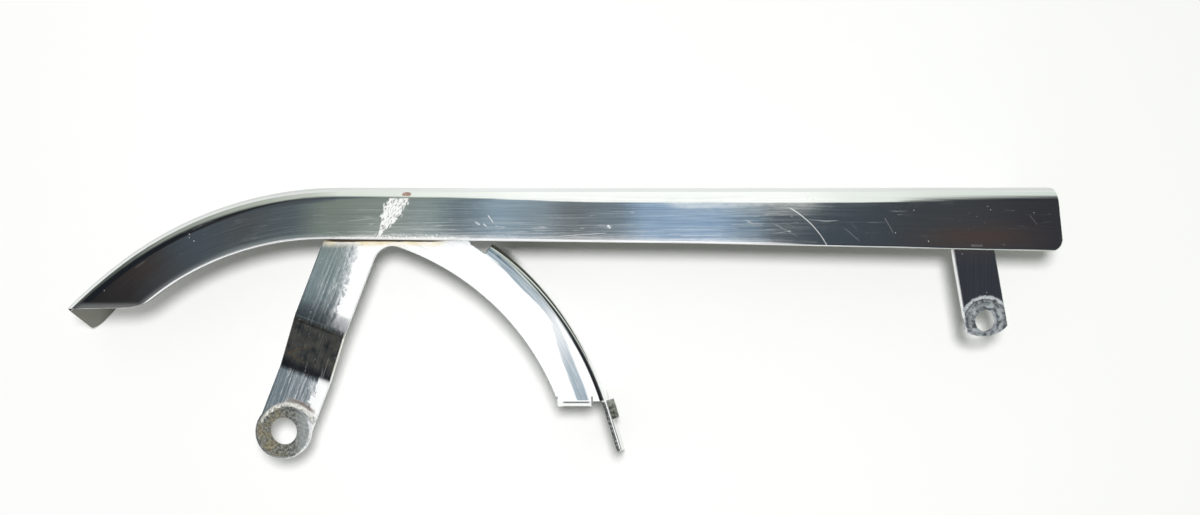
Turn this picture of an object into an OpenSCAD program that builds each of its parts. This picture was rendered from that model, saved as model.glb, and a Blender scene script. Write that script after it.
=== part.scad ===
// Motorcycle belt guard: a folded and plated sheet that covers the top of the drive belt, with a forked
// bracket and a short strap welded behind its outer wall.
// Origin: centre of the main bolt hole, on the back face of the bracket's leg.
// X runs along the guard to its square end, Y to the guard's top and Z out of the outer wall. The guard
// rests on the far edges of its web and of the bracket's flange, with its outer wall up.

/* [Guard section] */
// Height of the outer wall's face over the back of the bracket's leg
face_z = 12; // [10:0.5:14]
// Depth of the guard, from the outer wall's face to the web's far edge
guard_depth = 52; // [46:1:56]
// Thickness of the guard's sheet
sheet_t = 1.8; // [1.2:0.1:2.2]
// Outer radius of the fold between wall and web
fold_r = 8.5; // [6:0.5:10]

/* [Guard curve] */
// Height of the guard's straight top over the main bolt hole
top_y = 132; // [130:1:134]
// Place along the guard where the straight top ends and the curve starts
curve_x = 31.5; // [29:0.5:34]
// Outer radius of the curve over the pulley
curve_r = 194; // [190:1:198]
// Outer radius of the tail, past the curve
tail_r = 270; // [250:5:290]

/* [Guard outline] */
// Place of the square end's lower corner along the guard
end_x = 417.5; // [400:0.5:430]
// Distance that the square end leans back at the top
end_lean = 3.5; // [0:0.5:6]
// Height of the wall's lower edge where the curve starts
edge_start_y = 104; // [103:0.5:105]
// Height of the lower edge at the middle of the straight stretch
edge_mid_y = 101.6; // [100.5:0.1:102.5]
// Height of the lower edge at the square end
edge_end_y = 97.3; // [95:0.1:100]
// Radius of the wall's lower edge along the curve
edge_r = 146; // [144:1:148]
// Height of the level cut that ends the wall at the tail
tail_cut_y = 67.4; // [66:0.2:69]
// Distance that the web's far corner reaches past the tail's tip
tail_reach = 19.5; // [14:0.5:22]
// Radius that blends the tail's cut into the lower edge
tail_blend_r = 24; // [18:1:30]
// Radius of the sheet's rounded corners
corner_r = 6; // [3:0.5:8]

/* [Forked bracket] */
// Thickness of the bracket's plate
plate_t = 2.6; // [2:0.2:3]
// Radius of the main bolt hole
main_hole_r = 7.5; // [6:0.1:8.5]
// Radius of the leg's round end
leg_end_r = 15; // [14.4:0.2:16]
// Width of the leg
leg_w = 28.4; // [26:0.2:28.8]
// Lean of the leg from upright
leg_lean = 21; // [20:0.5:22]
// Distance from the main bolt hole to the start of the leg's offset bend
offset_from = 33; // [30:1:36]
// Distance from the main bolt hole to the end of the offset bend
offset_to = 62; // [58:1:64]
// Radius of the offset bend
offset_bend_r = 14; // [8:1:20]
// Outer radius of the arm's flange
arm_r = 168.6; // [167:0.2:170]
// Radius of the arm's inner edge
arm_inner_r = 139.4; // [138:0.2:141]
// Radius of the fork between leg and arm
fork_r = 10.4; // [8:0.2:12]
// Outer radius of the fold between arm and flange
flange_fold_r = 3.6; // [3.2:0.2:5]
// Height of the arm's end over the main bolt hole
arm_end_y = 17.7; // [15:0.1:20]
// Length of the lip at the arm's end
lip_l = 7.5; // [5:0.5:10]
// Angle through which the lip is bent down
lip_angle = 58; // [45:1:70]

/* [Flange tab] */
// Length of the tab past the flange, on the side of the outer wall
tab_l = 26; // [22:0.5:30]
// Further length of the tab at its far edge
tab_reach = 10; // [0:0.5:14]
// Width across the flats of the nut on the tab
nut_af = 10; // [9:0.5:11]
// Radius of the tab's hole for the screw
tab_hole_r = 3.3; // [3:0.1:3.8]
// Height of the nut
nut_h = 3.2; // [3:0.1:5]
// Radius of the nut's thread bore
nut_bore_r = 2.5; // [2:0.1:3]

/* [Strap] */
// Thickness of the strap
strap_t = 3.2; // [2.4:0.2:4]
// Width of the strap
strap_w = 21.6; // [20:0.2:24]
// Place of the strap's bolt hole along the guard
strap_x = 377.1; // [370:0.1:385]
// Height of the strap's bolt hole over the main bolt hole
strap_y = 60.5; // [58:0.1:63]
// Radius of the strap's bolt hole
strap_hole_r = 5.8; // [4:0.1:6.5]
// Lean of the strap from upright
strap_lean = -9.8; // [-12:0.1:-8]
// Length of the strap over its bolt hole
strap_l = 50; // [46:0.5:52]
// Radius of the strap's bowed end
strap_end_r = 17.5; // [15:0.5:22]
// Distance from the bolt hole to the strap's end
strap_end = 8.2; // [8:0.1:12]

/* [Welds] */
// Size of a weld bead
bead_r = 2.4; // [1.5:0.1:2.6]

/* [Hidden] */
$fn = 96;
over = 1;
hair = 0.02;
big = 60;
web_z = face_z - guard_depth;
wall_back_z = face_z - sheet_t;
fold_z = face_z - fold_r;
wall_blank = 38;
curve_c = [curve_x, top_y - curve_r];
curve_angle = atan2(3, 4);
bend_angle = 54;
tail_c = curve_c + (tail_r - curve_r) * [sin(curve_angle), -cos(curve_angle)];
edge_c = [25, edge_start_y - edge_r];
edge_mid_x = 225;
tip_drop = 1.2;
tip_y = tail_cut_y - tip_drop;
tip_angle = acos((tip_y - tail_c.y) / tail_r);
leg_dir = [sin(leg_lean), cos(leg_lean)];
leg_side = [cos(leg_lean), -sin(leg_lean)];
plate_z = wall_back_z - plate_t;
arm_c = [14.7, -34.6];
arm_inner_c = [18.6, -31.9];
flange_top_y = 101.5;
flange_top_angle = asin((flange_top_y - arm_c.y) / arm_r);
flange_top_skew = 4.2;
arm_top_x = 104;
plate_top_y = 110;
tab_angle = asin((arm_end_y - 2.7 - arm_c.y) / arm_r);
tab_z = 5;
tab_corner_r = 4;
nut_s = 6.4;
nut_z = -14;
rim_w = 10;
flat_r = arm_r - flange_fold_r - 3;
lip_root = 5;
lip_fold_r = 1.2;
lip_relief = 0.6;
lip_from = arm_inner_c.x + sqrt(pow(arm_inner_r, 2) - pow(arm_end_y - arm_inner_c.y, 2));
lip_to = arm_c.x + sqrt(pow(flat_r, 2) - pow(arm_end_y - arm_c.y, 2)) - over;
bead_l = 18;
chrome = [0.78, 0.79, 0.8];
bare_steel = [0.42, 0.36, 0.32];

function unit(v) = v / norm(v);

// Points along an arc from one angle to another
function arc(c, r, from, to, n = 24) =
    [for (i = [0:n]) let (a = from + (to - from) * i / n) c + r * [cos(a), sin(a)]];

// Points of the round that replaces corner b between a and c
function round_at(a, b, c, r, n = 8) =
    let (u = unit(a - b),
         v = unit(c - b),
         half = acos(u * v) / 2,
         mid = b + unit(u + v) * r / sin(half),
         p = b + u * r / tan(half) - mid,
         q = b + v * r / tan(half) - mid,
         from = atan2(p.y, p.x),
         turn = (atan2(q.y, q.x) - from + 540) % 360 - 180)
    arc(mid, r, from, from + turn, n);

// Point on the leg's axis at a distance from the main bolt hole, moved sideways
function leg_at(s, side = 0) = s * leg_dir + side * leg_side;

// Centre of the round in the fork: it touches the leg's side and the arm's inner edge
function fork_centre() =
    let (w = leg_at(0, leg_w / 2 + fork_r) - arm_inner_c,
         b = leg_dir * w)
    leg_at(-b + sqrt(b * b - w * w + pow(arm_inner_r - fork_r, 2)), leg_w / 2 + fork_r);

// Section of the folded sheet: distance from the centre of its curve across, height up
module guard_section(r) {
    translate([r - wall_blank, wall_back_z])
        square([wall_blank - fold_r, sheet_t]);
    translate([r - sheet_t, web_z])
        square([sheet_t, fold_z - web_z]);
    translate([r - fold_r, fold_z])
        intersection() {
            difference() {
                circle(fold_r);
                circle(fold_r - sheet_t);
            }
            square(fold_r);
        }
}

// Curved stretch of the folded sheet about its centre
module guard_bend(r) {
    rotate(90)
        rotate_extrude(angle = bend_angle)
            guard_section(r);
}

// All that lies past the place where the curve goes over into the tail, seen from either centre
module past_curve() {
    rotate(curve_angle)
        translate([-4 * big, 0, -big])
            cube([4 * big, 5 * big, 2 * big]);
}

// What is cut off the wall: all that lies below its lower edge and past its square end
module wall_trim() {
    blend_y = tail_cut_y + tail_blend_r;
    blend_x = edge_c.x - sqrt(pow(edge_r + tail_blend_r, 2) - pow(blend_y - edge_c.y, 2));
    touch = atan2(blend_y - edge_c.y, blend_x - edge_c.x);
    low = [end_x, edge_end_y];
    mid = [edge_mid_x, edge_mid_y];
    high = [end_x - end_lean, top_y];
    translate([0, 0, fold_z])
        linear_extrude(fold_r + over)
            polygon(concat(
                [[-2.5 * big, -big], [-2.5 * big, tip_y]],
                arc([blend_x, blend_y], tail_blend_r, -90, touch - 180, 6),
                arc(edge_c, edge_r, touch, 90, 32),
                [mid],
                round_at(mid, low, high, corner_r),
                [high, high + [0, over * 2], [end_x + big, top_y + over * 2], [end_x + big, -big]]
            ));
}

// What is cut off the web at the tail, with a rounded far corner
module tail_trim() {
    near = [0, fold_z];
    far = [-tail_reach, web_z];
    translate([tail_c.x, tail_c.y, 0])
        rotate(tip_angle)
            translate([0, tail_r + big / 2, 0])
                rotate([90, 0, 0])
                    linear_extrude(big)
                        polygon(concat(
                            [near + [0, over], near],
                            round_at(near, far, far + [big, 0], corner_r),
                            [[0, web_z - over], [-2 * big, web_z - over], [-2 * big, fold_z + over]]
                        ));
}

// What is cut off the web at the square end
module end_trim() {
    high = [end_x - end_lean, fold_z];
    far = [end_x - end_lean, web_z];
    translate([0, top_y + over, 0])
        rotate([90, 0, 0])
            linear_extrude(fold_r + over)
                polygon(concat(
                    [high],
                    round_at(high, far, far - [big, 0], corner_r),
                    [far - [3 * corner_r, over], far + [big, -over], high + [big, 0]]
                ));
}

module guard_shell() {
    color(chrome)
        difference() {
            union() {
                translate([curve_c.x, curve_c.y, 0]) {
                    rotate([90, 0, 90])
                        linear_extrude(end_x - curve_x + over)
                            guard_section(curve_r);
                    difference() {
                        guard_bend(curve_r);
                        past_curve();
                    }
                }
                translate([tail_c.x, tail_c.y, 0])
                    intersection() {
                        guard_bend(tail_r);
                        past_curve();
                    }
            }
            wall_trim();
            tail_trim();
            end_trim();
        }
}

// Side view of the bracket's plate: distance from the bolt hole along the leg across, height up
module plate_profile() {
    back = [[-leg_end_r - over, 0], [offset_from, 0], [offset_to, plate_z], [3 * big, plate_z]];
    front = [for (p = back) p + [0, plate_t]];
    polygon(concat(
        [back[0]],
        round_at(back[0], back[1], back[2], offset_bend_r + plate_t),
        round_at(back[1], back[2], back[3], offset_bend_r),
        [back[3], front[3]],
        round_at(front[3], front[2], front[1], offset_bend_r + plate_t),
        round_at(front[2], front[1], front[0], offset_bend_r),
        [front[0]]
    ));
}

// Outline of the bracket's plate: the leg with its round end, the fork and the arm's flat
module plate_outline() {
    fork_c = fork_centre();
    fork_touch = atan2(fork_c.y - arm_inner_c.y, fork_c.x - arm_inner_c.x);
    end_y = arm_end_y - over;
    left = leg_at((plate_top_y - leg_w / 2 * sin(leg_lean)) / cos(leg_lean), -leg_w / 2);
    circle(leg_end_r);
    polygon(concat(
        [leg_at(0, -leg_w / 2), leg_at(0, leg_w / 2)],
        arc(fork_c, fork_r, 180 - leg_lean, fork_touch, 10),
        arc(arm_inner_c, arm_inner_r, fork_touch, asin((end_y - arm_inner_c.y) / arm_inner_r)),
        arc(arm_c, flat_r, asin((end_y - arm_c.y) / flat_r), asin((flange_top_y - arm_c.y) / flat_r)),
        [[arm_top_x, plate_top_y], left]
    ));
}

// The plate: the offset sheet inside its outline
module plate() {
    intersection() {
        rotate(-leg_lean)
            translate([-big, 0, 0])
                rotate([90, 0, 90])
                    linear_extrude(4 * big)
                        plate_profile();
        linear_extrude(big)
            plate_outline();
    }
}

// Section of the arm's rim, fold and flange: distance from the arm's centre across, height up.
// The rim starts a hair inside the plate.
module flange_section() {
    fold_low = wall_back_z - flange_fold_r;
    fold_from = arm_r - flange_fold_r;
    translate([arm_r - plate_t, web_z])
        square([plate_t, fold_low - web_z]);
    translate([fold_from, fold_low])
        intersection() {
            difference() {
                circle(flange_fold_r);
                circle(flange_fold_r - plate_t);
            }
            square(flange_fold_r);
        }
    translate([fold_from - rim_w, plate_z + hair])
        square([rim_w, plate_t - 2 * hair]);
}

// The flange round the outside of the arm, with a slanting top end
module flange() {
    translate([arm_c.x, arm_c.y, 0])
        difference() {
            rotate(tab_angle)
                rotate_extrude(angle = flange_top_angle - tab_angle)
                    flange_section();
            translate([0, flange_top_y - arm_c.y, wall_back_z])
                rotate([-flange_top_skew, 0, 0])
                    translate([0, 0, -2 * big])
                        cube([4 * big, big, 4 * big]);
        }
}

// What is cut off the arm's end: the flat and the fold, and room for the lip's bend
module arm_trim() {
    translate([2 * big, arm_end_y - big, tab_z])
        cube([2 * big, big, big]);
    translate([lip_from - 2 * lip_root, arm_end_y - big, tab_z])
        cube([lip_to + lip_relief - lip_from + 2 * lip_root, big + lip_root / 2, big]);
}

// Frame at the lower end of the flange: X out of the flange's outer face, Y back up along it
module at_tab() {
    translate([arm_c.x, arm_c.y, 0])
        rotate(tab_angle)
            translate([arm_r, 0, 0])
                children();
}

// The tab: the flange's flat end, cut slanting towards its far edge
module tab() {
    start = [0, tab_z];
    near = [-tab_l, tab_z];
    far = [-tab_l - tab_reach, web_z];
    at_tab()
        translate([-plate_t, 0, 0])
            rotate([90, 0, 90])
                linear_extrude(plate_t)
                    polygon(concat(
                        [[0, web_z], start],
                        round_at(start, near, far, tab_corner_r),
                        round_at(near, far, [0, web_z], tab_corner_r)
                    ));
}

// Side view of the lip bent down at the arm's end: place along Y across, height up
module lip_profile() {
    lip_t = plate_t - 2 * hair;
    run = [-cos(lip_angle), -sin(lip_angle)];
    outer = [[lip_root, 0], [0, 0], lip_l * run];
    inner = [[lip_root, -lip_t], [lip_t * tan(lip_angle / 2), -lip_t],
             outer[2] + lip_t * [sin(lip_angle), -cos(lip_angle)]];
    polygon(concat(
        [outer[0]],
        round_at(outer[0], outer[1], outer[2], lip_fold_r + lip_t),
        [outer[2], inner[2]],
        round_at(inner[2], inner[1], inner[0], lip_fold_r),
        [inner[0]]
    ));
}

module lip() {
    translate([lip_from, arm_end_y, wall_back_z - hair])
        rotate([90, 0, 90])
            linear_extrude(lip_to - lip_from)
                lip_profile();
}

module fork_bracket() {
    color(chrome)
        difference() {
            union() {
                difference() {
                    union() {
                        plate();
                        flange();
                    }
                    arm_trim();
                }
                tab();
                lip();
            }
            translate([0, 0, -over])
                cylinder(r = main_hole_r, h = plate_t + 2 * over);
            at_tab()
                translate([over, -nut_s, nut_z])
                    rotate([0, -90, 0])
                        cylinder(r = tab_hole_r, h = plate_t + 2 * over);
        }
}

// The strap near the square end
module strap_bracket() {
    bow_y = strap_end_r - strap_end;
    color(chrome)
        translate([strap_x, strap_y, wall_back_z - strap_t])
            rotate(-strap_lean)
                difference() {
                    linear_extrude(strap_t)
                        intersection() {
                            translate([-strap_w / 2, -strap_end])
                                square([strap_w, strap_end + strap_l]);
                            union() {
                                translate([0, bow_y])
                                    circle(strap_end_r);
                                translate([-strap_w / 2, 0])
                                    square([strap_w, strap_l]);
                            }
                        }
                    translate([0, 0, -over])
                        cylinder(r = strap_hole_r, h = strap_t + 2 * over);
                }
}

module tab_nut() {
    color(chrome)
        at_tab()
            translate([0, -nut_s, nut_z])
                rotate([0, 90, 0])
                    difference() {
                        cylinder(d = nut_af / cos(30), h = nut_h, $fn = 6);
                        translate([0, 0, -over])
                            cylinder(r = nut_bore_r, h = nut_h + 2 * over);
                    }
}

// A bead along X in the corner between a plate's upper edge and the wall's back
module bead(length) {
    intersection() {
        rotate([0, 90, 0])
            cylinder(r = bead_r, h = length);
        translate([0, 0, -bead_r])
            cube([length, bead_r, bead_r]);
    }
}

module fork_weld() {
    color(bare_steel)
        for (x = [32, 58, 84])
            translate([x, plate_top_y, wall_back_z])
                bead(bead_l);
}

module strap_weld() {
    color(bare_steel)
        translate([strap_x, strap_y, wall_back_z])
            rotate(-strap_lean)
                translate([-strap_w / 2 + 2, strap_l, 0])
                    bead(strap_w - 4);
}

guard_shell();
fork_bracket();
strap_bracket();
tab_nut();
fork_weld();
strap_weld();
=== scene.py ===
"""Looks of the chromed belt guard: camera, floor, light, the room that its chrome mirrors, its wear, and the
shade and reflections painted on it.
"""
import math

import bpy
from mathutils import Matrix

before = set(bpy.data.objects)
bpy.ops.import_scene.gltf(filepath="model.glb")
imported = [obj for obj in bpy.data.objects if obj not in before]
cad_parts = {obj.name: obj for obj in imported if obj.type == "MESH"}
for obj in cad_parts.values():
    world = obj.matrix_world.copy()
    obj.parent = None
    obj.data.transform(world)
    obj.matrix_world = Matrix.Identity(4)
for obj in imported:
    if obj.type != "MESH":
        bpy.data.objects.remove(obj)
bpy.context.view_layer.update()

# The camera looks straight down on the outer wall, 0.4346 m over its face.
# The photo is 1200 pixels wide, and the focal length is worth 820 of them.
CAMERA = (0.1716, 0.0942, 0.4466)
CLIP_START, CLIP_END = 0.01, 30.0
SENSOR = 36.0
PHOTO_WIDTH_PX, FOCAL_PX = 1200, 820
LENS = SENSOR * FOCAL_PX / PHOTO_WIDTH_PX
# The ground: its height, middle and size in metres. Its tone and its fade into the white surround
# go by the distance from under the lamp, in millimetres.
FLOOR_Z = -0.0402
FLOOR_MIDDLE = (0.15, 0.08)
FLOOR_SIZE = 8.0
FLOOR_TONES = (0.92, 0.925, 0.91), (0.93, 0.935, 0.92)
FLOOR_FAR_TONE = (0.99, 0.995, 0.99)
TONE_FROM, TONE_TO = 60.0, 420.0
FADE_FROM, FADE_TO = 330.0, 800.0
# A lamp as near as the one in the photo, so that the shadows stay close to the object
LAMP = (0.181, 0.174, 0.565)
LAMP_RADIUS = 0.052
LAMP_POWER = 31.6
# Level and tint of the light from all round on plain surfaces
AMBIENT = 0.3
AMBIENT_COLOUR = (AMBIENT * 0.99, AMBIENT * 1.02, AMBIENT * 0.95, 1.0)
WHITE = (1.0, 1.0, 1.0, 1.0)
# Millimetres of the outer wall to a photo pixel, and the photo pixel of the main bolt hole
PX = 0.53
ORIGIN_PX = (276.2, 434.8)

# Shape of the part in millimetres, as its source has it: the curve's centre, the lower edge's arc and
# corners, the tail's cut, the leg's lean, the arm's flange, the tab and the strap's hole
CURVE_X, CURVE_Y = 31.5, -62.0
EDGE_X, EDGE_Y, EDGE_R = 25.0, -42.0, 146.0
EDGE_START, EDGE_MID, EDGE_END = (31.5, 104.0), (225.0, 101.6), (417.5, 97.3)
TAIL_CUT_Y = 67.4
LEG_LEAN = math.radians(21)
ARM_X, ARM_Y, ARM_R = 14.7, -34.6, 168.6
TAB_Y = 15.0
TAB_ANGLE = math.asin((TAB_Y - ARM_Y) / ARM_R)
STRAP_HOLE = (377.1, 60.5)
# Radius at which lengths round the curve and the arm are measured
UNROLL_R = 160.0
# Heights between which the fold ends and the wall's flat face starts, and the same for the bracket
WALL_FROM_Z, WALL_Z = 11.0, 11.9
PLATE_FROM_Z, PLATE_Z = 9.0, 10.0

# Scratches on the wall as photo pixels: both ends, half width and softness in millimetres, strength
CUTS = (
    ((772, 222), (797, 236), 0.02, 0.3, 0.3), ((885, 218), (893, 232), 0.02, 0.26, 0.4),
    ((845, 228), (859, 240), 0.02, 0.25, 0.35), ((850, 222), (857, 229), 0.02, 0.2, 0.2),
    ((608, 226), (610, 227), 0.3, 0.5, 0.9), ((488, 215), (493, 222), 0.1, 0.4, 0.8),
    ((972, 245.0), (982, 245.3), 0.2, 0.5, 0.25), ((560, 236), (606, 233), 0.02, 0.3, 0.25),
    ((785, 222), (800, 230), 0.02, 0.3, 0.2), ((1030, 215), (1037, 224), 0.02, 0.25, 0.2),
    ((476, 222), (479, 224), 0.2, 0.4, 0.7), ((484, 224), (486, 226), 0.15, 0.3, 0.6),
)
# The long light arc on the wall: its centre, its radius and the stretch that shows, as photo pixels
ARC_CENTRE, ARC_R, ARC_FROM, ARC_TO = (742, 291), 96.5, 790, 846
# The flaked patch of plating: the top and the foot of its slant, as photo pixels
FLAKE_TOP, FLAKE_FOOT = (401, 194), (377, 239)
# The rust chip on the fold: its place as a photo pixel, its half length and half height in millimetres
RUST_CHIP = (406, 193.5)
RUST_CHIP_HALF = (2.9, 1.15)
# The grime in the seam between wall and bracket: where it starts and ends, as photo columns
SEAM_FROM, SEAM_TO = 322, 452
# The crumbs and the burr that the flaking left near the wall's lower edge, in millimetres along X
CRUMBS_FROM, CRUMBS_TO = 53.0, 90.0
BURR_FROM, BURR_TO = 25.0, 96.0

# The painted blue reflection in a band beside the arm's fold: angle round the arm's centre, radius, half
# width, strength
BAND = (
    (18.0, 157.0, 3.4, 0.95), (24.0, 157.2, 3.3, 0.85), (28.0, 157.9, 3.2, 0.75),
    (32.0, 160.2, 2.8, 0.35), (35.6, 163.0, 1.7, 0.3), (39.0, 164.2, 2.4, 0.7),
    (44.0, 162.8, 2.8, 0.85), (48.5, 163.7, 2.4, 0.92), (56.0, 165.4, 2.6, 1.0),
)
# The band's curves hold its radius as a share of a span over a least radius, and its half width as a share
BAND_R, BAND_R_SPAN, BAND_W_SPAN = 150.0, 20.0, 4.0
# Radius of the painted dark reflection at the crease beside the flange's outline, and the width of the
# painted shade along the outline
CREASE_R = 165.9
OUTLINE_W = 0.9

# Scratches on the leg in millimetres, and two rusty ones that meet: both ends, half width, softness
LEG_CUTS = (((17.0, 20.0), (22.0, 33.0), 0.04, 0.4), ((19.5, 24.0), (26.0, 40.0), 0.03, 0.4))
RUSTY_CUTS = (((3.8, 43.1), (15.7, 46.5), 0.0, 0.6), ((3.8, 43.1), (11.7, 37.2), 0.0, 0.6))
# Lengths along the leg: its slope, and the stretch over the slope where a painted dark reflection grows
# towards the bend
SLOPE_FROM, SLOPE_TO = 38.0, 62.0
DARK_FROM, DARK_TO = 76.0, 63.5
# The washer's seat on the leg: centre of its torn rim, and radii of the rim, the painted shadow under it and
# the rust
TORN_CENTRE = (2.6, -0.6)
RIM_R, RIM_SHADOW_R, RUST_R = 15.3, 12.9, 17.4
# The painted white reflection strip on the leg's right: length along the leg and distance across it where
# the strip starts
STRIP_REFLECTION_EDGE = ((12.0, 7.6), (28.0, 8.2), (60.0, 6.0), (72.0, 6.6), (105.0, 4.2))

# Colours of the wear, and of the painted shade and painted reflections
BRUSHED, CLEAN = (0.66, 0.68, 0.7), (1.0, 1.0, 1.0)
SCRATCH, FLAKE_GREY, FLAKE_WHITE = (0.82, 0.84, 0.86), (0.86, 0.86, 0.84), (0.96, 0.96, 0.95)
FOLD_SHADE = (0.42, 0.44, 0.4)
CHIP_DARK, CHIP_PALE = (0.2, 0.11, 0.08), (0.55, 0.4, 0.33)
INSIDE_DARK, INSIDE_PALE = (0.068, 0.071, 0.05), (0.138, 0.138, 0.107)
ARM_STREAK, ARM_CLEAN = (0.9, 0.91, 0.92), (0.97, 0.98, 0.98)
BLUE_REFLECTION, CREASE_REFLECTION = (0.2, 0.275, 0.33), (0.1, 0.115, 0.13)
OUTLINE_SHADE, TAB_EDGE_DARK = (0.07, 0.075, 0.08), (0.05, 0.055, 0.055)
BEND_REFLECTION_DARK, SLOPE_REFLECTION_WARM, STRIP_REFLECTION_WHITE = (0.2, 0.21, 0.23), (0.8, 0.74, 0.56), (0.97, 0.98, 0.99)
ORANGE_RUST, BROWN_RUST = (0.5, 0.24, 0.06), (0.13, 0.07, 0.035)
SEAT_DARK, SEAT_PALE, SEAT_BLUE = (0.11, 0.11, 0.1), (0.4, 0.41, 0.38), (0.5, 0.54, 0.55)
KHAKI_DARK, KHAKI_PALE = (0.2, 0.18, 0.13), (0.4, 0.36, 0.25)
RIM_DARK, RIM_PALE, RIM_SHADOW = (0.4, 0.39, 0.36), (0.92, 0.91, 0.86), (0.1, 0.11, 0.11)
CREAM, CREAM_PALE, SEAM_DARK = (0.88, 0.77, 0.53), (0.97, 0.94, 0.84), (0.06, 0.04, 0.025)
STRAP_DARK, STRAP_PALE = (0.08, 0.1, 0.135), (0.36, 0.41, 0.46)
STRAP_RIM_DARK, STRAP_RIM_PALE = (0.55, 0.62, 0.68), (0.86, 0.9, 0.94)


def at(pixel):
    """Place on the outer wall's face, in millimetres, of a photo pixel."""
    return (pixel[0] - ORIGIN_PX[0]) * PX, (ORIGIN_PX[1] - pixel[1]) * PX


class Graph:
    """Short hand for a node tree: each call makes one node and gives back its output socket."""

    def __init__(self, tree):
        self.tree = tree
        tree.nodes.clear()

    def put(self, socket, value):
        """Link an output to a socket, or set a plain value on it."""
        if isinstance(value, bpy.types.NodeSocket):
            self.tree.links.new(value, socket)
        elif value is not None:
            socket.default_value = value

    def node(self, kind, *values, out=0, **props):
        made = self.tree.nodes.new("ShaderNode" + kind)
        for key, value in props.items():
            setattr(made, key, value)
        for socket, value in zip(made.inputs, values):
            self.put(socket, value)
        return made.outputs[out]

    def math(self, operation, a, b=None, c=None):
        return self.node("Math", a, b, c, operation=operation)

    def add(self, a, b):
        return self.math("ADD", a, b)

    def sub(self, a, b):
        return self.math("SUBTRACT", a, b)

    def times(self, *values):
        made = values[0]
        for value in values[1:]:
            made = self.math("MULTIPLY", made, value)
        return made

    def most(self, *values):
        made = values[0]
        for value in values[1:]:
            made = self.math("MAXIMUM", made, value)
        return made

    def length(self, a, b):
        return self.math("SQRT", self.add(self.times(a, a), self.times(b, b)))

    def vector(self, operation, a, b=None):
        return self.node("VectorMath", a, b, operation=operation)

    def dot(self, a, b):
        return self.node("VectorMath", a, b, operation="DOT_PRODUCT", out=1)

    def scale(self, a, factor):
        made = self.tree.nodes.new("ShaderNodeVectorMath")
        made.operation = "SCALE"
        self.put(made.inputs[0], a)
        self.put(made.inputs["Scale"], factor)
        return made.outputs[0]

    def xyz(self, x, y, z=0.0):
        return self.node("CombineXYZ", x, y, z)

    def split(self, vector):
        made = self.tree.nodes.new("ShaderNodeSeparateXYZ")
        self.put(made.inputs[0], vector)
        return made.outputs[0], made.outputs[1], made.outputs[2]

    def step(self, value, low, high, to_low=0.0, to_high=1.0):
        """Smooth step; a first edge above the second one falls from 1 to 0."""
        if low > high:
            low, high, to_low, to_high = high, low, to_high, to_low
        return self.node("MapRange", value, low, high, to_low, to_high, interpolation_type="SMOOTHSTEP")

    def mix(self, factor, a, b):
        made = self.tree.nodes.new("ShaderNodeMix")
        made.data_type = "RGBA"
        for index, value in ((0, factor), (6, a), (7, b)):
            if isinstance(value, tuple):
                value = (*value, 1.0)[:4]
            self.put(made.inputs[index], value)
        return made.outputs[2]

    def noise(self, vector, scale, detail=3.0, rough=0.5):
        made = self.tree.nodes.new("ShaderNodeTexNoise")
        self.put(made.inputs["Vector"], vector)
        for key, value in (("Scale", scale), ("Detail", detail), ("Roughness", rough)):
            made.inputs[key].default_value = value
        return made.outputs[0]

    def stretched(self, x, y, z, sizes, detail=3.0, rough=0.5):
        """Noise whose scale differs along the three axes."""
        place = self.xyz(self.times(x, sizes[0]), self.times(y, sizes[1]), self.times(z, sizes[2]))
        return self.noise(place, 1.0, detail, rough)

    def cells(self, vector, scale):
        made = self.tree.nodes.new("ShaderNodeTexVoronoi")
        self.put(made.inputs["Vector"], vector)
        made.inputs["Scale"].default_value = scale
        return made.outputs[0]

    def curve(self, value, stops, kind="EASE"):
        """Smooth function of a number: stops hold its places with the level or colour at each."""
        low, high = stops[0][0], stops[-1][0]
        made = self.tree.nodes.new("ShaderNodeValToRGB")
        made.color_ramp.interpolation = kind
        points = made.color_ramp.elements
        points.remove(points[-1])
        for i, (place, level) in enumerate(stops):
            share = (place - low) / (high - low)
            point = points[0] if i == 0 else points.new(share)
            point.position = share
            point.color = (*level, 1.0) if isinstance(level, tuple) else (level, level, level, 1.0)
        self.put(made.inputs[0], self.math("DIVIDE", self.sub(value, low), high - low))
        return made.outputs[0]

    def line(self, x, y, a, b, half, soft):
        """1 within half a width of the straight line from a to b, falling to 0 over the soft distance."""
        run = (b[0] - a[0], b[1] - a[1])
        length = math.hypot(*run)
        u = (run[0] / length, run[1] / length)
        dx = self.sub(x, a[0])
        dy = self.sub(y, a[1])
        along = self.add(self.times(dx, u[0]), self.times(dy, u[1]))
        across = self.sub(self.times(dy, u[0]), self.times(dx, u[1]))
        past = self.most(self.sub(along, length), self.times(along, -1.0), 0.0)
        return self.step(self.length(across, past), half + soft, half)

    def away(self, x, y, centre):
        """Distance from a centre."""
        return self.length(self.sub(x, centre[0]), self.sub(y, centre[1]))

    def near(self, value, middle, half, soft):
        """1 where a value is within half a width of the middle, falling to 0 over the soft distance."""
        return self.step(self.math("ABSOLUTE", self.sub(value, middle)), half + soft, half)

    def between(self, value, low, high, soft):
        """1 from the low value to the high one, with soft ends that are centred on them."""
        over_low = self.step(value, low - soft, low + soft)
        under_high = self.step(value, high + soft, high - soft)
        return self.times(over_low, under_high)

    def bump(self, height, distance, bevel):
        """Normal from a height, over edges that are rounded by the bevel's radius."""
        made = self.tree.nodes.new("ShaderNodeBump")
        made.inputs["Strength"].default_value = 0.1
        made.inputs["Distance"].default_value = distance
        self.put(made.inputs["Height"], height)
        self.put(made.inputs["Normal"], self.node("Bevel", bevel, samples=6))
        return made.outputs[0]

    def tilt(self, normal, x, y, amount):
        """Normal leaned towards a level direction."""
        lean = self.scale(self.xyz(x, y), amount)
        return self.vector("NORMALIZE", self.vector("ADD", normal, lean))


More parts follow.
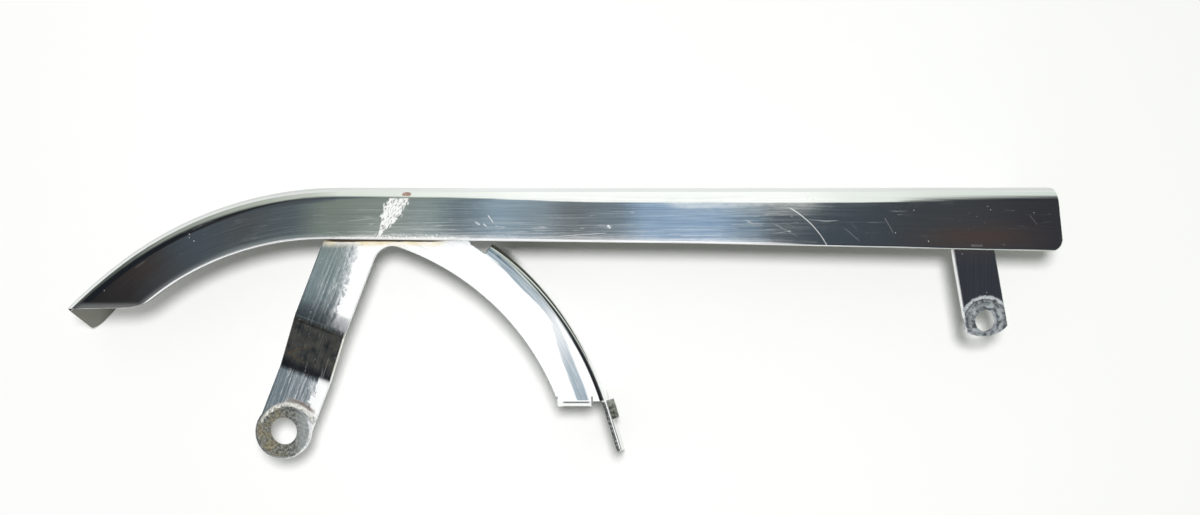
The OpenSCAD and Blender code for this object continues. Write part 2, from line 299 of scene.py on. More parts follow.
def new_material(name):
    """Material, its graph and the place in it in millimetres."""
    material = bpy.data.materials.new(name)
    material.use_nodes = True
    g = Graph(material.node_tree)
    place = g.scale(g.node("TexCoord", out=3), 1000.0)
    return material, g, place


def finish_surface(g, colour, rough, metal, normal):
    shader = g.tree.nodes.new("ShaderNodeBsdfPrincipled")
    g.put(shader.inputs["Base Color"], colour)
    g.put(shader.inputs["Roughness"], rough)
    g.put(shader.inputs["Metallic"], metal)
    g.put(shader.inputs["Normal"], normal)
    out = g.tree.nodes.new("ShaderNodeOutputMaterial")
    g.tree.links.new(shader.outputs[0], out.inputs["Surface"])


# The room that the chrome mirrors. Its places are slopes of the mirrored direction:
# sx and sy are how far it leans along X and Y for each unit up. Each curve below is a list of places
# with the level or colour there.
def dim_room(g, sx, sy):
    """The dim middle of the room, over the wall, from left to right."""
    dim = g.curve(sx, (
        (-0.66, (0.014, 0.017, 0.021)), (-0.58, (0.033, 0.03, 0.03)), (-0.5, (0.07, 0.09, 0.105)),
        (-0.43, (0.085, 0.092, 0.098)), (-0.38, (0.1, 0.125, 0.14)), (-0.33, (0.22, 0.26, 0.225)),
        (-0.26, (0.26, 0.3, 0.27)), (-0.21, (0.25, 0.31, 0.3)), (-0.175, (0.17, 0.215, 0.24)),
        (-0.12, (0.29, 0.39, 0.46)), (-0.08, (0.27, 0.34, 0.38)), (-0.035, (0.17, 0.195, 0.205)),
        (0.02, (0.18, 0.23, 0.265)), (0.06, (0.29, 0.42, 0.57)), (0.14, (0.29, 0.42, 0.58)),
        (0.18, (0.2, 0.28, 0.35)), (0.22, (0.1, 0.12, 0.135)), (0.28, (0.062, 0.08, 0.095)),
        (0.42, (0.055, 0.06, 0.066)), (0.56, (0.04, 0.04, 0.046))))
    warm_right = g.times(g.between(sx, 0.4, 0.52, 0.05), g.between(sy, 0.012, 0.034, 0.01))
    dim = g.mix(g.times(warm_right, 0.75), dim, (0.09, 0.058, 0.046))
    warm_left = g.times(g.between(sx, -0.58, -0.52, 0.04), g.between(sy, -0.03, 0.01, 0.025))
    return g.mix(g.times(warm_left, 0.7), dim, (0.06, 0.042, 0.036))


def pale_room(g, level_x):
    """The light far side of the room, brightest in its middle."""
    return g.curve(level_x, (
        (-1.0, (0.02, 0.025, 0.025)), (-0.86, (0.12, 0.135, 0.12)), (-0.74, (0.34, 0.37, 0.32)),
        (-0.55, (0.48, 0.52, 0.45)), (-0.4, (0.62, 0.66, 0.58)), (-0.29, (0.86, 0.92, 0.82)),
        (-0.18, (1.0, 1.05, 0.97)), (-0.08, (1.16, 1.19, 1.13)), (0.22, (1.16, 1.19, 1.13)),
        (0.3, (0.98, 1.03, 0.95)), (0.4, (0.84, 0.9, 0.82)), (0.5, (0.74, 0.82, 0.75)),
        (1.0, (0.6, 0.66, 0.6))))


def low_room(g, sx, sy, level_y):
    """The side below: a bright window, and a dim wall left and right of it."""
    left = g.curve(sy, (
        (-0.86, (0.16, 0.165, 0.135)), (-0.76, (0.115, 0.118, 0.092)), (-0.69, (0.058, 0.055, 0.052)),
        (-0.42, (0.05, 0.052, 0.055)), (-0.28, (0.1, 0.125, 0.14)), (-0.2, (0.17, 0.215, 0.24)),
        (-0.14, (0.2, 0.25, 0.275)), (-0.1, (0.075, 0.09, 0.1)), (-0.07, (0.12, 0.15, 0.165)),
        (-0.03, (0.22, 0.29, 0.3)), (0.03, (0.25, 0.31, 0.3))))
    right = g.curve(sx, (
        (0.2, (0.045, 0.05, 0.06)), (0.62, (0.04, 0.045, 0.055)), (0.85, (0.6, 0.65, 0.58)),
        (1.6, (0.72, 0.78, 0.7))))
    left_edge = g.add(-0.302, g.times(g.math("MINIMUM", sy, 0.0), 0.27))
    low = g.mix(g.step(sx, 0.15, 0.3), left, right)
    window = g.times(g.step(g.sub(sx, left_edge), -0.004, 0.004), g.step(sx, 0.26, 0.2),
                     g.most(g.step(sy, -0.5, -0.42), g.step(sx, -0.25, -0.15)))
    far_below = g.times(g.step(level_y, -0.6, -0.7), g.step(sx, 0.9, 0.4))
    return g.mix(g.most(window, far_below), low, (1.2, 1.2, 1.2))


def room():
    """The world: plain light for plain surfaces, white for the camera, and a room for what mirrors."""
    world = bpy.data.worlds.new("room")
    bpy.context.scene.world = world
    world.use_nodes = True
    g = Graph(world.node_tree)
    x, y, z = g.split(g.node("TexCoord", out=0))
    up = g.most(z, 0.03)
    sx = g.math("DIVIDE", x, up)
    sy = g.math("DIVIDE", y, up)
    soft = g.noise(g.xyz(sx, sy), 9.0, 2.0)
    dim = dim_room(g, sx, g.add(sy, g.times(g.sub(soft, 0.5), 0.03)))
    # sy where the dim middle gives way to the pale far side, and over how much of it
    limit = g.curve(sx, (
        (-1.3, 0.95), (-0.8, 0.95), (-0.62, 1.15), (-0.46, 1.1), (-0.25, 0.86), (-0.17, 0.64), (-0.1, 0.4),
        (-0.05, 0.26), (0.02, 0.13), (0.1, 0.066), (0.25, 0.068), (0.31, 0.09), (0.36, 0.18), (0.41, 0.35),
        (0.47, 0.6), (0.6, 0.85), (0.8, 1.2)))
    fade = g.curve(sx, (
        (-1.3, 0.45), (-0.6, 0.5), (-0.42, 0.22), (-0.2, 0.1), (-0.08, 0.03), (0.02, 0.01), (0.28, 0.01),
        (0.36, 0.06), (0.47, 0.3), (0.8, 0.5)))
    past = g.math("DIVIDE", g.sub(sy, limit), fade)
    seen = g.mix(g.step(past, -1.0, 1.0), dim, pale_room(g, x))
    # sy under which the low side starts
    low_limit = g.curve(sx, (
        (-0.47, 0.0), (-0.44, 0.006), (-0.4, 0.016), (-0.36, 0.0215), (-0.2, 0.0225), (-0.12, 0.0215),
        (-0.05, 0.019), (0.06, 0.0178), (0.12, 0.0183), (0.2, 0.0155), (0.24, 0.004), (0.3, 0.004)))
    in_low = g.step(g.sub(sy, low_limit), 0.001, -0.001)
    in_low = g.most(g.times(in_low, g.step(sx, -0.47, -0.44)), g.step(y, -0.6, -0.7))
    seen = g.mix(in_low, seen, low_room(g, sx, sy, y))
    seen = g.mix(g.step(z, 0.06, -0.01), seen, (0.9, 0.94, 0.88))

    path = g.tree.nodes.new("ShaderNodeLightPath")
    plain = g.node("Background", AMBIENT_COLOUR, 1.0)
    white = g.node("Background", WHITE, 1.0)
    mirror = g.node("Background", seen, 1.0)
    first = g.node("MixShader", path.outputs["Is Glossy Ray"], plain, mirror)
    second = g.node("MixShader", path.outputs["Is Camera Ray"], first, white)
    out = g.tree.nodes.new("ShaderNodeOutputWorld")
    g.tree.links.new(second, out.inputs["Surface"])


def lamp():
    """A round lamp whose light doesn't fade with distance."""
    data = bpy.data.lights.new("lamp", "POINT")
    data.energy = LAMP_POWER
    data.shadow_soft_size = LAMP_RADIUS
    data.use_nodes = True
    g = Graph(data.node_tree)
    falloff = g.tree.nodes.new("ShaderNodeLightFalloff")
    falloff.inputs["Strength"].default_value = 1.0
    light = g.node("Emission", (1.0, 0.995, 1.0, 1.0), falloff.outputs["Constant"])
    out = g.tree.nodes.new("ShaderNodeOutputLight")
    g.tree.links.new(light, out.inputs["Surface"])
    made = bpy.data.objects.new("lamp", data)
    made.location = LAMP
    made.visible_glossy = False
    made.visible_camera = False
    bpy.context.collection.objects.link(made)


def floor():
    """The white ground. Far from the object it fades into the white surround."""
    bpy.ops.mesh.primitive_plane_add(size=FLOOR_SIZE, location=(*FLOOR_MIDDLE, FLOOR_Z))
    made = bpy.context.object
    made.name = "floor"
    material, g, place = new_material("white_ground")
    x, y, _ = g.split(place)
    away = g.away(x, y, (LAMP[0] * 1000, LAMP[1] * 1000))
    edge = g.step(away, TONE_FROM, TONE_TO)
    middle = g.mix(g.noise(place, 0.009, 2.0), *FLOOR_TONES)
    tone = g.mix(edge, middle, FLOOR_FAR_TONE)
    finish_surface(g, tone, 0.9, 0.0, None)
    shader = g.tree.nodes["Principled BSDF"]
    shader.inputs["Specular IOR Level"].default_value = 0.0
    path = g.tree.nodes.new("ShaderNodeLightPath")
    seen = g.most(path.outputs["Is Camera Ray"], path.outputs["Is Glossy Ray"])
    white = g.node("Emission", WHITE, 1.0)
    faded = g.node("MixShader", g.times(g.step(away, FADE_FROM, FADE_TO), seen), shader.outputs[0], white)
    g.tree.links.new(faded, g.tree.nodes["Material Output"].inputs["Surface"])
    made.data.materials.append(material)


def camera():
    """The photo's camera, straight over the outer wall."""
    data = bpy.data.cameras.new("camera")
    data.sensor_fit = "HORIZONTAL"
    data.sensor_width = SENSOR
    data.lens = LENS
    data.clip_start = CLIP_START
    data.clip_end = CLIP_END
    made = bpy.data.objects.new("camera", data)
    made.location = CAMERA
    bpy.context.collection.objects.link(made)
    bpy.context.scene.camera = made


def rubbing(g, u, v, z):
    """Wear along u: broad streaks, fine hairs, smudges, and the plating's tone from them."""
    streak = g.stretched(u, v, z, (0.02, 0.9, 0.1), 4.0, 0.6)
    hairs = g.stretched(u, v, z, (0.03, 4.2, 0.1), 3.0, 0.6)
    smudge = g.noise(g.xyz(u, v, z), 0.05, 4.0, 0.6)
    level = g.add(g.times(g.sub(streak, 0.5), 1.1), g.times(g.sub(hairs, 0.5), 1.3))
    level = g.add(g.add(level, g.times(g.sub(smudge, 0.5), 0.5)), 0.5)
    return streak, hairs, smudge, g.step(level, 0.05, 0.95)


def thin_lines(g, u, v, seed, level, gate):
    """Long thin scratches that wander along u, where the gate lets them."""
    path = g.stretched(u, v, seed, (0.012, 0.22, 1.0), 2.0)
    shown = g.noise(g.xyz(g.times(u, 0.05), g.times(v, 0.25), seed * 2), 1.0, 2.0)
    return g.times(g.near(path, level, 0.0004, 0.0022), g.step(shown, gate, gate + 0.1))


def flaked_patch(g, x, y, on_wall):
    """Where the plating has come off in a slanting band, with crumbs and a burr along the lower edge."""
    top, foot = at(FLAKE_TOP), at(FLAKE_FOOT)
    slant = math.atan2(top[0] - foot[0], top[1] - foot[1])
    rel_x = g.sub(x, foot[0])
    rel_y = g.sub(y, foot[1])
    across = g.sub(g.times(rel_x, math.cos(slant)), g.times(rel_y, math.sin(slant)))
    along = g.add(g.times(rel_x, math.sin(slant)), g.times(rel_y, math.cos(slant)))
    fray = g.stretched(across, along, 2.0, (1.1, 0.3, 1.0), 4.0, 0.65)
    grain = g.stretched(across, along, 5.0, (1.5, 0.35, 1.0), 4.0, 0.7)
    # the patch widens from its foot upwards, and noise frays its sides
    half = g.step(along, 3.0, 18.0, 1.2, 5.0)
    flake = g.add(g.sub(half, g.math("ABSOLUTE", across)), g.times(g.sub(fray, 0.5), 9.0))
    flake = g.times(g.step(flake, 0.0, 0.5), g.step(grain, 0.43, 0.49), g.step(y, 126.2, 125.0), on_wall)
    crumbs = g.noise(g.xyz(x, g.times(y, 1.3), 7.0), 0.9, 3.0, 0.6)
    gate = g.times(g.between(x, CRUMBS_FROM, CRUMBS_TO, 6.0), g.step(y, 108.5, 104.2), on_wall)
    crumb_share = g.times(g.step(g.add(crumbs, g.times(gate, 0.16)), 0.69, 0.73), gate)
    burr = g.sub(g.times(crumbs, 2.6), g.sub(y, 103.7))
    burr = g.times(g.step(burr, 0.0, 0.4), g.between(x, BURR_FROM, BURR_TO, 8.0), on_wall)
    return g.most(flake, crumb_share, burr)


def guard_lines(g, x, y):
    """Places along and across the guard: straight, then round its curve. Also its outward direction."""
    dx = g.math("MINIMUM", g.sub(x, CURVE_X), 0.0)
    dy = g.sub(y, CURVE_Y)
    far = g.length(dx, dy)
    along = g.add(g.most(x, CURVE_X), g.times(g.math("ARCTAN2", dx, dy), UNROLL_R))
    across = g.sub(far, -CURVE_Y)
    return along, across, g.math("DIVIDE", dx, far), g.math("DIVIDE", dy, far)


def edge_lines(g, x, y):
    """Distance in from the wall's lower edge, and the direction out over it."""
    dx = g.math("MINIMUM", g.sub(x, EDGE_X), 0.0)
    dy = g.sub(y, EDGE_Y)
    far = g.length(dx, dy)
    straight = []
    for a, b in ((EDGE_START, EDGE_MID), (EDGE_MID, EDGE_END)):
        slope = (b[1] - a[1]) / (b[0] - a[0])
        straight.append(g.add(g.times(g.sub(x, a[0]), slope), a[1]))
    inward = g.most(g.sub(far, EDGE_R), g.sub(y, g.math("MINIMUM", *straight)))
    inward = g.math("MINIMUM", inward, g.sub(y, TAIL_CUT_Y))
    out_x = g.math("DIVIDE", g.times(dx, -1.0), far)
    out_y = g.math("DIVIDE", g.times(dy, -1.0), far)
    return inward, out_x, out_y


def wall_scratches(g, place, x, y, u, v, z, hairs):
    """Scratches on the wall: long thin ones, the arc, the cuts and the specks."""
    lines = g.most(thin_lines(g, u, v, 3.0, 0.5, 0.52), thin_lines(g, u, v, 9.0, 0.44, 0.56))
    arc = g.near(g.away(x, y, at(ARC_CENTRE)), ARC_R * PX, 0.03, 0.3)
    arc_shown = g.between(x, at((ARC_FROM, 0))[0], at((ARC_TO, 0))[0], 1.5)
    arc = g.times(arc, arc_shown, g.step(hairs, 0.3, 0.6, 0.3, 0.55))
    broken = g.step(g.noise(place, 1.6, 2.0), 0.35, 0.6, 0.15, 0.75)
    cuts = [arc]
    for a, b, half, soft, strength in CUTS:
        cuts.append(g.times(g.line(x, y, at(a), at(b), half, soft), broken, strength))
    spots = g.cells(g.xyz(u, v, z), 0.3)
    which = g.noise(g.xyz(u, v, z), 0.13, 2.0)
    specks = g.times(g.step(spots, 0.12, 0.05), g.step(which, 0.58, 0.66), 0.7)
    return g.most(g.times(lines, 0.22), specks, *cuts)


def rust_chip(g, x, y, z, blotch):
    """The oval chip on the fold where rust shows."""
    centre = at(RUST_CHIP)
    far = g.length(
        g.math("DIVIDE", g.sub(x, centre[0]), RUST_CHIP_HALF[0]),
        g.math("DIVIDE", g.sub(y, centre[1]), RUST_CHIP_HALF[1]))
    chip = g.step(g.add(far, g.times(g.sub(blotch, 0.5), 1.3)), 1.05, 0.8)
    return g.times(chip, g.step(z, 3.0, 5.0))


def shell_chrome():
    """Plating of the folded sheet, rubbed, scratched and flaked outside and dark and dull inside, with
    painted shade on the fold's far side and a painted highlight along the lower edge.
    """
    material, g, place = new_material("shell_chrome")
    x, y, z = g.split(place)
    u, v, out_x, out_y = guard_lines(g, x, y)
    streak, hairs, _, wear = rubbing(g, u, v, z)
    on_wall = g.step(z, WALL_FROM_Z, WALL_Z)
    facing = g.node("NewGeometry", out=1)

    # the middle is rubbed most; the fold and the right end are nearly clean
    by_length = g.curve(x, (
        (-120.0, 0.25), (20.0, 0.55), (100.0, 0.75), (240.0, 0.8), (300.0, 0.2), (420.0, 0.12)))
    rubbed = g.times(by_length, g.add(g.times(on_wall, 0.85), 0.15))
    tone = g.mix(g.add(0.5, g.times(g.sub(wear, 0.5), rubbed)), BRUSHED, CLEAN)

    marks = g.times(wall_scratches(g, place, x, y, u, v, z, hairs), on_wall)
    pale_patch = flaked_patch(g, x, y, on_wall)
    blotch = g.noise(place, 0.55, 4.0, 0.7)
    chip = rust_chip(g, x, y, z, blotch)

    # the inside: dark and dull on the wall's back and on the web
    across = g.dot(facing, g.xyz(out_x, out_y))
    under = g.step(g.dot(facing, (0.0, 0.0, 1.0)), -0.3, -0.6)
    inside = g.most(under, g.step(across, -0.3, -0.6))
    dull = g.noise(place, 0.12, 5.0, 0.7)

    # painted shade on the far side of the fold, darkest on the curve and at the square end
    fold_shade = g.curve(x, (
        (-110.0, 0.85), (0.0, 0.75), (60.0, 0.5), (120.0, 0.16), (290.0, 0.16), (360.0, 0.45),
        (420.0, 0.5)))
    shoulder_shade = g.times(g.step(across, 0.6, 0.96), g.step(z, -6.0, 3.2, 0.4, 1.0), fold_shade)

    # the rolled lower edge
    inward, edge_x, edge_y = edge_lines(g, x, y)
    ragged = g.add(inward, g.times(g.sub(streak, 0.5), 0.6))
    past_tail = g.step(y, TAIL_CUT_Y + 1.2, TAIL_CUT_Y + 2.2)
    roll = g.times(g.step(ragged, 1.25, 0.2), g.step(z, 10.6, 11.2), past_tail)
    # glow: a strip within a few millimetres of the lower edge made partly matte so that it shows pale, a
    # painted highlight
    glow = g.times(g.step(ragged, 3.6, 0.8), g.step(x, 290.0, 240.0, 0.0, 0.16), on_wall)

    colour = g.mix(shoulder_shade, tone, FOLD_SHADE)
    colour = g.mix(marks, colour, SCRATCH)
    colour = g.mix(pale_patch, colour, g.mix(g.step(blotch, 0.35, 0.6), FLAKE_GREY, FLAKE_WHITE))
    colour = g.mix(chip, colour, g.mix(blotch, CHIP_DARK, CHIP_PALE))
    colour = g.mix(inside, colour, g.mix(g.step(dull, 0.35, 0.65), INSIDE_DARK, INSIDE_PALE))
    rough = g.step(g.add(g.times(streak, 0.6), g.times(hairs, 0.4)), 0.4, 0.75, 0.045, 0.11)
    rough = g.most(rough, g.times(marks, 0.5), g.times(pale_patch, 0.7), g.times(chip, 0.85),
                   g.times(inside, g.step(dull, 0.35, 0.7, 0.3, 0.55)), g.times(roll, 0.16))
    matte = g.most(g.times(marks, 0.8), pale_patch, chip, g.times(inside, 0.7), glow)
    relief = g.add(g.times(streak, 0.035), g.times(g.noise(place, 0.2, 1.0), 0.6))
    relief = g.sub(relief, g.times(g.most(marks, pale_patch, chip), 1.5))
    normal = g.tilt(g.bump(relief, 0.00009, 0.0006), edge_x, edge_y, g.times(roll, 0.62))
    finish_surface(g, colour, rough, g.sub(1.0, matte), normal)
    return material


def leg_marks(g, x, y):
    """The bolted foot of the leg: the washer's seat, its torn rim, a painted shadow under the rim, and rust
    over it.
    """
    crust = g.noise(g.xyz(x, y, 0.0), 0.75, 5.0, 0.7)
    wide = g.noise(g.xyz(x, y, 4.0), 0.2, 3.0, 0.6)
    away = g.away(x, y, (0.0, 0.0))
    ragged = g.add(away, g.times(g.sub(crust, 0.5), 2.4))
    seat = g.step(ragged, 14.8, 13.6)
    torn = g.add(g.away(x, y, TORN_CENTRE), g.times(g.sub(crust, 0.5), 3.4))
    rim = g.times(g.near(torn, RIM_R, 0.5, 1.0), g.step(y, 3.0, 7.0), g.step(wide, 0.3, 0.5, 0.55, 1.0))
    rim_shadow = g.times(g.near(torn, RIM_SHADOW_R, 0.25, 0.9), g.step(y, 3.5, 7.5), g.step(x, 4.0, -2.0, 1.0, 0.35))
    rust = g.times(g.near(torn, RUST_R, 0.1, 1.6), g.step(y, 8.0, 12.0), g.step(x, -1.0, 6.0), 0.85)
    return crust, wide, seat, rim, rim_shadow, rust


def seat_colour(g, x, crust, wide):
    """The washer's seat: dull and pitted, khaki on its left and blue-grey on its right."""
    made = g.mix(g.step(crust, 0.4, 0.64), SEAT_DARK, SEAT_PALE)
    khaki = g.mix(g.step(crust, 0.4, 0.6), KHAKI_DARK, KHAKI_PALE)
    made = g.mix(g.times(g.step(wide, 0.4, 0.6), g.step(x, 4.0, -6.0)), made, khaki)
    return g.mix(g.times(g.step(x, 5.0, 11.0), 0.6), made, SEAT_BLUE)


def arm_reflection_band(g, x, y, rub):
    """The painted blue reflection in a band beside the arm's fold, and the radius and angle round the arm's
    centre.
    """
    dx = g.sub(x, ARM_X)
    dy = g.sub(y, ARM_Y)
    far = g.length(dx, dy)
    angle = g.times(g.math("ARCTAN2", dy, dx), 180 / math.pi)
    radii = [(a, (r - BAND_R) / BAND_R_SPAN) for a, r, w, k in BAND]
    widths = [(a, w / BAND_W_SPAN) for a, r, w, k in BAND]
    middle = g.add(BAND_R, g.times(g.curve(angle, radii, "B_SPLINE"), BAND_R_SPAN))
    half = g.times(g.curve(angle, widths, "B_SPLINE"), BAND_W_SPAN)
    level = g.curve(angle, [(a, k) for a, r, w, k in BAND], "B_SPLINE")
    rubbed_far = g.add(far, g.times(g.sub(rub, 0.5), 2.6))
    inner = g.sub(half, g.math("ABSOLUTE", g.sub(rubbed_far, middle)))
    blue_reflection = g.times(g.step(inner, -0.4, 1.0), level, g.step(rub, 0.25, 0.6, 0.7, 1.0))
    return far, angle, blue_reflection


def leg_scratches(g, x, y, z, s, t):
    """Scratches along the leg and pits in it, and the scratches that hold rust."""
    cuts = [g.line(x, y, *cut) for cut in LEG_CUTS]
    lines = g.most(thin_lines(g, s, t, 4.0, 0.5, 0.42), thin_lines(g, s, t, 6.0, 0.45, 0.45), *cuts)
    rusty = g.most(*[g.line(x, y, *cut) for cut in RUSTY_CUTS])
    pits = g.cells(g.xyz(x, y, z), 0.45)
    pitted = g.noise(g.xyz(x, y, z), 0.12, 2.0)
    specks = g.times(g.step(pits, 0.16, 0.06), g.step(pitted, 0.5, 0.58))
    return g.most(g.times(lines, 0.3), g.times(specks, 0.6)), rusty


def seam_grime(g, x, y, z):
    """Rust and grime out of the seam under the wall's edge: its spread, its dark line and its blotches."""
    creep = g.noise(g.xyz(g.times(x, 0.5), y, 1.0), 0.22, 4.0, 0.6)
    along = g.between(x, at((SEAM_FROM, 0))[0], at((SEAM_TO, 0))[0] - 6.0, 5.0)
    on_face = g.step(z, PLATE_FROM_Z, PLATE_Z)
    spread = g.sub(g.sub(y, 99.5), g.times(creep, 3.0))
    spread = g.times(g.step(spread, -2.0, 1.4), along, on_face)
    line = g.step(g.add(y, g.times(g.sub(creep, 0.5), 1.2)), 102.3, 102.8)
    return spread, g.times(line, along, on_face), creep


def bracket_chrome():
    """Plating of the forked bracket: leg, arm, flange, lip and tab each have their own wear; the leg, arm,
    flange and lip also carry painted reflections and painted shade.
    """
    material, g, place = new_material("bracket_chrome")
    x, y, z = g.split(place)
    # s runs up the leg from its bolt hole and t across it
    s = g.add(g.times(x, math.sin(LEG_LEAN)), g.times(y, math.cos(LEG_LEAN)))
    t = g.sub(g.times(x, math.cos(LEG_LEAN)), g.times(y, math.sin(LEG_LEAN)))
    on_leg = g.step(t, 22.0, 17.0)
    on_arm = g.sub(1.0, on_leg)
    arm_far = g.away(x, y, (ARM_X, ARM_Y))
    arm_turn = g.times(g.math("ARCTAN2", g.sub(y, ARM_Y), g.sub(x, ARM_X)), UNROLL_R)
    u = g.add(g.times(s, on_leg), g.times(arm_turn, on_arm))
    v = g.add(g.times(t, on_leg), g.times(arm_far, on_arm))
    streak, hairs, _, wear = rubbing(g, u, v, z)
    tone = g.mix(wear, (0.62, 0.64, 0.66), CLEAN)
    far, angle, blue_reflection = arm_reflection_band(g, x, y, g.stretched(arm_turn, arm_far, 1.0, (0.05, 0.9, 1.0), 4.0, 0.65))
    blue_reflection = g.times(blue_reflection, on_arm, g.step(z, 9.6, 9.9))
    crust, wide, seat, rim, rim_shadow, rust = leg_marks(g, x, y)
    torn_rim = rim
    seat, rim, rim_shadow, rust = (g.times(part, on_leg) for part in (seat, rim, rim_shadow, rust))
    scratched, rusty = leg_scratches(g, x, y, z, s, t)
    marks = g.times(scratched, on_leg)
    seam, seam_line, creep = seam_grime(g, x, y, z)

    # painted reflections on the leg: its face dark towards its bend, warm patches on its slope, and a white
    # strip along its right edge
    bend_dark_reflection = g.times(g.step(s, DARK_FROM, DARK_TO), g.step(s, 59.5, 60.5), on_leg)
    slope_blotches = g.step(g.add(wide, g.times(streak, 0.3)), 0.3, 0.9)
    slope_reflection = g.times(g.between(s, SLOPE_FROM, SLOPE_TO, 3.0), on_leg, slope_blotches)
    fray = g.times(g.sub(wide, 0.5), 12.0)
    pale_patch = g.add(g.sub(t, g.curve(s, STRIP_REFLECTION_EDGE)), fray)
    strip_lengths = g.most(g.step(s, 70.0, 72.0), g.between(s, 13.0, 34.0, 1.5))
    pale_patch = g.times(g.step(pale_patch, -0.4, 0.6), on_leg, strip_lengths)

    # the flange: painted shade along its outline and a painted dark reflection at the crease beside it
    on_outline = g.between(far, ARM_R, ARM_R + OUTLINE_W, 0.15)
    shoulder_shade = g.times(on_outline, 0.85, g.step(z, 2.5, 5.0), on_arm, g.step(y, 16.5, 19.0))
    crease_reflection = g.times(g.near(far, CREASE_R, 0.15, 0.8), on_arm, g.step(z, 8.0, 9.0), g.curve(angle, (
        (17.0, 0.85), (28.0, 0.75), (34.0, 0.5), (45.0, 0.3), (56.0, 0.3))))

    # painted shade lines along the end lip, and the dark band and dark edges of the tab
    on_lip = g.times(g.between(x, 152.0, 166.0, 1.0), g.step(y, 17.7, 17.5), g.step(z, 2.0, 3.0))
    lip_shade_lines = g.most(g.near(y, 16.8, 0.35, 0.5), g.near(y, 13.7, 0.3, 0.3))
    lip_shade_lines = g.times(lip_shade_lines, on_lip, 0.9)
    tab_x = g.times(g.sub(x, ARM_X), math.cos(TAB_ANGLE))
    tab_y = g.times(g.sub(y, ARM_Y), math.sin(TAB_ANGLE))
    over_tab = g.sub(g.add(tab_x, tab_y), ARM_R)
    on_tab = g.times(g.step(y, 17.2, 16.0), on_arm)
    tab_dark = g.times(g.between(over_tab, -2.9, -1.0, 0.3), on_tab, g.step(crust, 0.3, 0.55, 0.55, 1.0))
    tab_edge = g.times(g.between(over_tab, -0.6, 0.3, 0.15), on_tab)

    colour = g.mix(on_arm, tone, g.mix(g.step(streak, 0.3, 0.7), ARM_STREAK, ARM_CLEAN))
    colour = g.mix(marks, colour, (0.8, 0.82, 0.83))
    # the next mixes paint reflections and shade: dark towards the leg's bend, warm on its slope, a white
    # strip on its right, a blue band on the arm, a dark line at the flange's crease, and dark lines along
    # the flange's outline and the lip
    colour = g.mix(g.times(bend_dark_reflection, 0.8), colour, BEND_REFLECTION_DARK)
    colour = g.mix(g.times(slope_reflection, 0.6), colour, SLOPE_REFLECTION_WARM)
    colour = g.mix(pale_patch, colour, STRIP_REFLECTION_WHITE)
    colour = g.mix(blue_reflection, colour, BLUE_REFLECTION)
    colour = g.mix(g.times(crease_reflection, 0.9), colour, CREASE_REFLECTION)
    colour = g.mix(g.most(shoulder_shade, lip_shade_lines), colour, OUTLINE_SHADE)
    colour = g.mix(g.most(tab_dark, g.times(tab_edge, 0.6)), colour, TAB_EDGE_DARK)
    colour = g.mix(g.times(rusty, 0.7), colour, ORANGE_RUST)
    colour = g.mix(seat, colour, seat_colour(g, x, crust, wide))
    # painted shadow under the torn rim
    colour = g.mix(g.times(rim_shadow, 0.55), colour, RIM_SHADOW)
    colour = g.mix(rust, colour, BROWN_RUST)
    colour = g.mix(rim, colour, g.mix(g.step(crust, 0.42, 0.55), RIM_DARK, RIM_PALE))
    colour = g.mix(seam, colour, g.mix(g.step(creep, 0.4, 0.62), CREAM, CREAM_PALE))
    colour = g.mix(seam_line, colour, SEAM_DARK)

    rough = g.step(g.add(g.times(streak, 0.6), g.times(hairs, 0.4)), 0.4, 0.75, 0.05, 0.13)
    rough = g.most(rough, g.times(marks, 0.45), g.times(torn_rim, 0.5),
                   g.times(seat, g.step(crust, 0.3, 0.7, 0.28, 0.6)))
    matte = g.most(g.times(marks, 0.6), g.times(rim, 0.9), g.times(seat, g.step(crust, 0.4, 0.6, 0.35, 0.7)),
                   g.times(seam, 0.8), g.times(seam_line, 0.9), g.times(rust, 0.9), g.times(rim_shadow, 0.3),
                   g.times(shoulder_shade, 0.5), g.times(rusty, hairs, 0.3), g.times(tab_dark, 0.3),
                   g.times(slope_reflection, 0.075), g.times(pale_patch, 0.85), g.times(lip_shade_lines, 0.5))
    dents = g.noise(g.xyz(x, y, z), 0.28, 1.5, 0.5)
    relief = g.add(g.times(streak, 0.02), g.times(dents, g.add(g.times(on_leg, 0.7), 0.1)))
    relief = g.add(relief, g.times(g.most(seat, rim), crust, 14.0))
    relief = g.sub(relief, g.times(marks, 1.5))
    finish_surface(g, colour, rough, g.sub(1.0, matte), g.bump(relief, 0.0002, 0.0006))
    return material


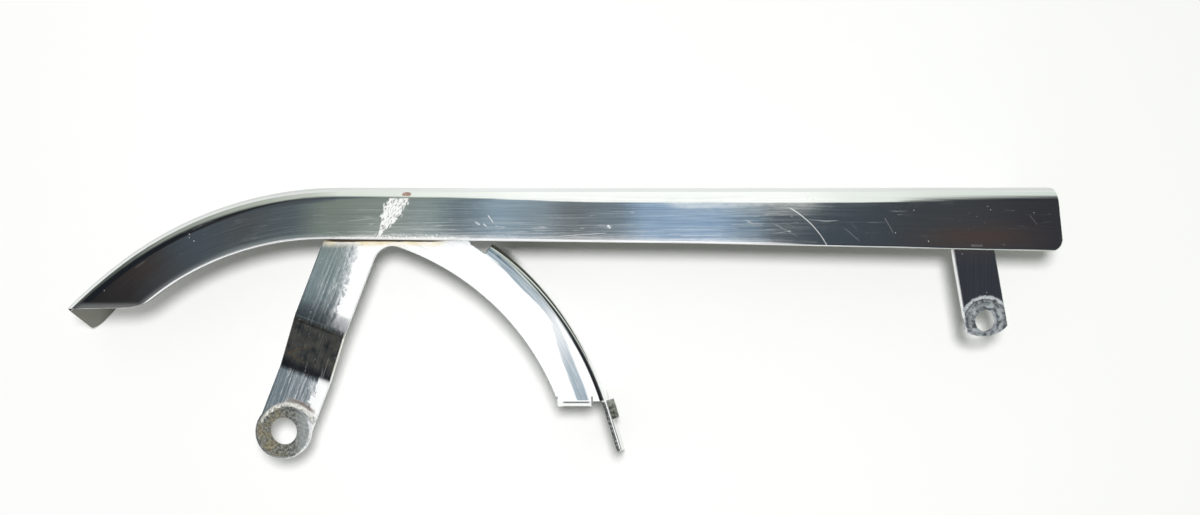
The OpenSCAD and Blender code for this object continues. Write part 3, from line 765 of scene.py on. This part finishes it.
def strap_chrome():
    """Plating of the strap, with a dull ring and a pale arc where its washer sat."""
    material, g, place = new_material("strap_chrome")
    x, y, z = g.split(place)
    streak, _, smudge, wear = rubbing(g, y, x, z)
    tone = g.mix(g.add(0.35, g.times(wear, 0.3)), BRUSHED, CLEAN)
    over = g.sub(y, STRAP_HOLE[1])
    away = g.away(x, y, STRAP_HOLE)
    crust = g.noise(place, 0.42, 3.0, 0.55)
    ragged = g.add(away, g.times(g.sub(crust, 0.5), 2.4))
    seat = g.step(ragged, 12.0, 10.4)
    rim = g.times(g.near(ragged, 12.6, 0.25, 1.1), g.step(over, 2.0, 7.0), 0.85)
    inner = g.near(ragged, 8.4, 0.4, 1.0)
    specks = g.times(g.step(g.cells(place, 0.5), 0.14, 0.05), g.step(smudge, 0.5, 0.56))
    top = g.times(g.step(over, 38.0, 46.0), 0.5)
    seat_tone = g.mix(g.step(crust, 0.4, 0.62), STRAP_DARK, STRAP_PALE)

    colour = g.mix(top, tone, (0.75, 0.55, 0.45))
    colour = g.mix(g.times(seat, 0.8), colour, seat_tone)
    colour = g.mix(g.times(inner, 0.6), colour, (0.7, 0.74, 0.77))
    colour = g.mix(rim, colour, g.mix(g.step(crust, 0.4, 0.6), STRAP_RIM_DARK, STRAP_RIM_PALE))
    rough = g.step(streak, 0.4, 0.75, 0.05, 0.12)
    rough = g.most(rough, g.times(seat, g.step(crust, 0.3, 0.7, 0.2, 0.45)),
                   g.times(g.most(rim, specks), 0.4))
    matte = g.most(g.times(rim, 0.6), g.times(inner, 0.35), g.times(specks, 0.5),
                   g.times(seat, g.step(crust, 0.42, 0.65, 0.25, 0.5)))
    relief = g.add(g.times(streak, 0.03), g.times(seat, crust, 5.0))
    finish_surface(g, colour, rough, g.sub(1.0, matte), g.bump(relief, 0.0002, 0.0007))
    return material


def nut_steel():
    """Dull, darkened steel of the nut."""
    material, g, place = new_material("nut_steel")
    worn = g.noise(place, 0.5, 4.0, 0.6)
    colour = g.mix(g.step(worn, 0.42, 0.62), (0.1, 0.105, 0.09), (0.42, 0.44, 0.4))
    relief = g.times(g.noise(place, 2.0, 3.0, 0.6), 2.5)
    finish_surface(g, colour, g.step(worn, 0.3, 0.7, 0.3, 0.5), 0.75, g.bump(relief, 0.0002, 0.0004))
    return material


def weld_steel():
    """Scaly weld beads, partly rusted."""
    material, g, place = new_material("weld_steel")
    x, y, z = g.split(place)
    scales = g.stretched(x, y, z, (1.6, 0.3, 1.0), 3.0, 0.6)
    worn = g.noise(place, 0.4, 4.0, 0.65)
    colour = g.mix(g.step(worn, 0.4, 0.6), (0.3, 0.18, 0.11), (0.48, 0.45, 0.42))
    metal = g.step(worn, 0.45, 0.6, 0.3, 0.9)
    rough = g.step(worn, 0.3, 0.7, 0.45, 0.75)
    finish_surface(g, colour, rough, metal, g.bump(g.times(scales, 6.0), 0.0006, 0.0004))
    return material


def dress(node, material):
    """Give a carried-over node its material."""
    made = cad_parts[node]
    made.data.materials.clear()
    made.data.materials.append(material)


room()
lamp()
floor()
camera()
dress("guard_shell", shell_chrome())
dress("fork_bracket", bracket_chrome())
dress("strap_bracket", strap_chrome())
dress("tab_nut", nut_steel())
weld = weld_steel()
dress("fork_weld", weld)
dress("strap_weld", weld)

bpy.context.scene.view_settings.view_transform = "Standard"
